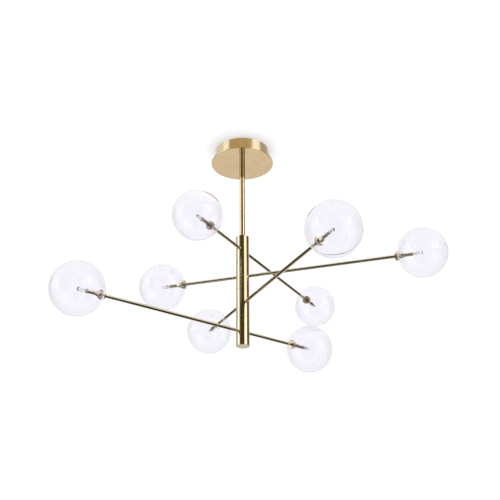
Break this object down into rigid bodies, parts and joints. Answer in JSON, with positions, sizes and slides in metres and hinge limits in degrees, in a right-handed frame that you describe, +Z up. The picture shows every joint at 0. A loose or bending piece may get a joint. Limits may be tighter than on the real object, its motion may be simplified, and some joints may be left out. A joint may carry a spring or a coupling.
{
  "type": "ceiling light",
  "caption": "Ceiling light with a round canopy, a down rod and stacked swivelling arms, each with a clear glass globe and capsule bulb at either end.",
  "frame": {"origin": "middle of the ceiling bracket's top face, in the ceiling's plane and on the rod's axis", "axes": "+Z up into the ceiling, along the rod. +X runs along the bracket's strip, to the right seen from the front, and +Y away from the viewer"},
  "size_m": [0.8982, 0.9206, 0.5725],
  "materials": {
    "satin_brass": "fine satin brush",
    "clear_glass": "clear, blown, fire-polished",
    "bulb_glass": "clear capsule",
    "ceramic": "unglazed ceramic",
    "plated_steel": "zinc plated",
    "driver_case": "fine-grained moulding",
    "terminal_plastic": "moulded, slightly translucent",
    "lead_sheath": "matt silicone",
    "washer_plastic": "waxy low-friction sheet"
  },
  "bodies": {
    "root": {"ceiling_bracket": "plated_steel", "canopy": "satin_brass", "canopy_screws": "satin_brass", "driver": "driver_case", "terminal_block": "terminal_plastic", "earth_screw": "plated_steel", "down_rod": "satin_brass", "rod_nipple": "plated_steel", "rod_washer": "plated_steel", "rod_nut": "plated_steel", "rod_leads": "lead_sheath", "hub_top_disc": "satin_brass", "hub_spacers": "satin_brass", "stop_pins": "plated_steel", "friction_washers": "washer_plastic", "hub_end_cap": "satin_brass"},
    "arm_1": {"hub_module_1": "satin_brass", "tube_nuts_1": "plated_steel", "long_tube_1": "satin_brass", "short_tube_1": "satin_brass", "long_globe_1": "clear_glass", "short_globe_1": "clear_glass", "globe_collars_1": "satin_brass", "lamp_stems_1": "satin_brass", "lampholders_1": "ceramic", "bulbs_1": "bulb_glass", "arm_leads_1": "lead_sheath"},
    "arm_2": {"hub_module_2": "satin_brass", "tube_nuts_2": "plated_steel", "long_tube_2": "satin_brass", "short_tube_2": "satin_brass", "long_globe_2": "clear_glass", "short_globe_2": "clear_glass", "globe_collars_2": "satin_brass", "lamp_stems_2": "satin_brass", "lampholders_2": "ceramic", "bulbs_2": "bulb_glass", "arm_leads_2": "lead_sheath"},
    "arm_3": {"hub_module_3": "satin_brass", "tube_nuts_3": "plated_steel", "long_tube_3": "satin_brass", "short_tube_3": "satin_brass", "long_globe_3": "clear_glass", "short_globe_3": "clear_glass", "globe_collars_3": "satin_brass", "lamp_stems_3": "satin_brass", "lampholders_3": "ceramic", "bulbs_3": "bulb_glass", "arm_leads_3": "lead_sheath"},
    "arm_4": {"hub_module_4": "satin_brass", "tube_nuts_4": "plated_steel", "long_tube_4": "satin_brass", "short_tube_4": "satin_brass", "long_globe_4": "clear_glass", "short_globe_4": "clear_glass", "globe_collars_4": "satin_brass", "lamp_stems_4": "satin_brass", "lampholders_4": "ceramic", "bulbs_4": "bulb_glass", "arm_leads_4": "lead_sheath"}
  },
  "joints": [
    {"name": "arm_1_swivel", "type": "hinge", "parent": "root", "child": "arm_1", "pos_m": [0, 0, -0.2935], "axis": [0, 0, 1], "range_deg": [-25, 150]},
    {"name": "arm_2_swivel", "type": "hinge", "parent": "root", "child": "arm_2", "pos_m": [0, 0, -0.3665], "axis": [0, 0, 1], "range_deg": [-10, 25]},
    {"name": "arm_3_swivel", "type": "hinge", "parent": "root", "child": "arm_3", "pos_m": [0, 0, -0.4395], "axis": [0, 0, 1], "range_deg": [-25, 10]},
    {"name": "arm_4_swivel", "type": "hinge", "parent": "root", "child": "arm_4", "pos_m": [0, 0, -0.5125], "axis": [0, 0, 1], "range_deg": [-150, 25]}
  ]
}
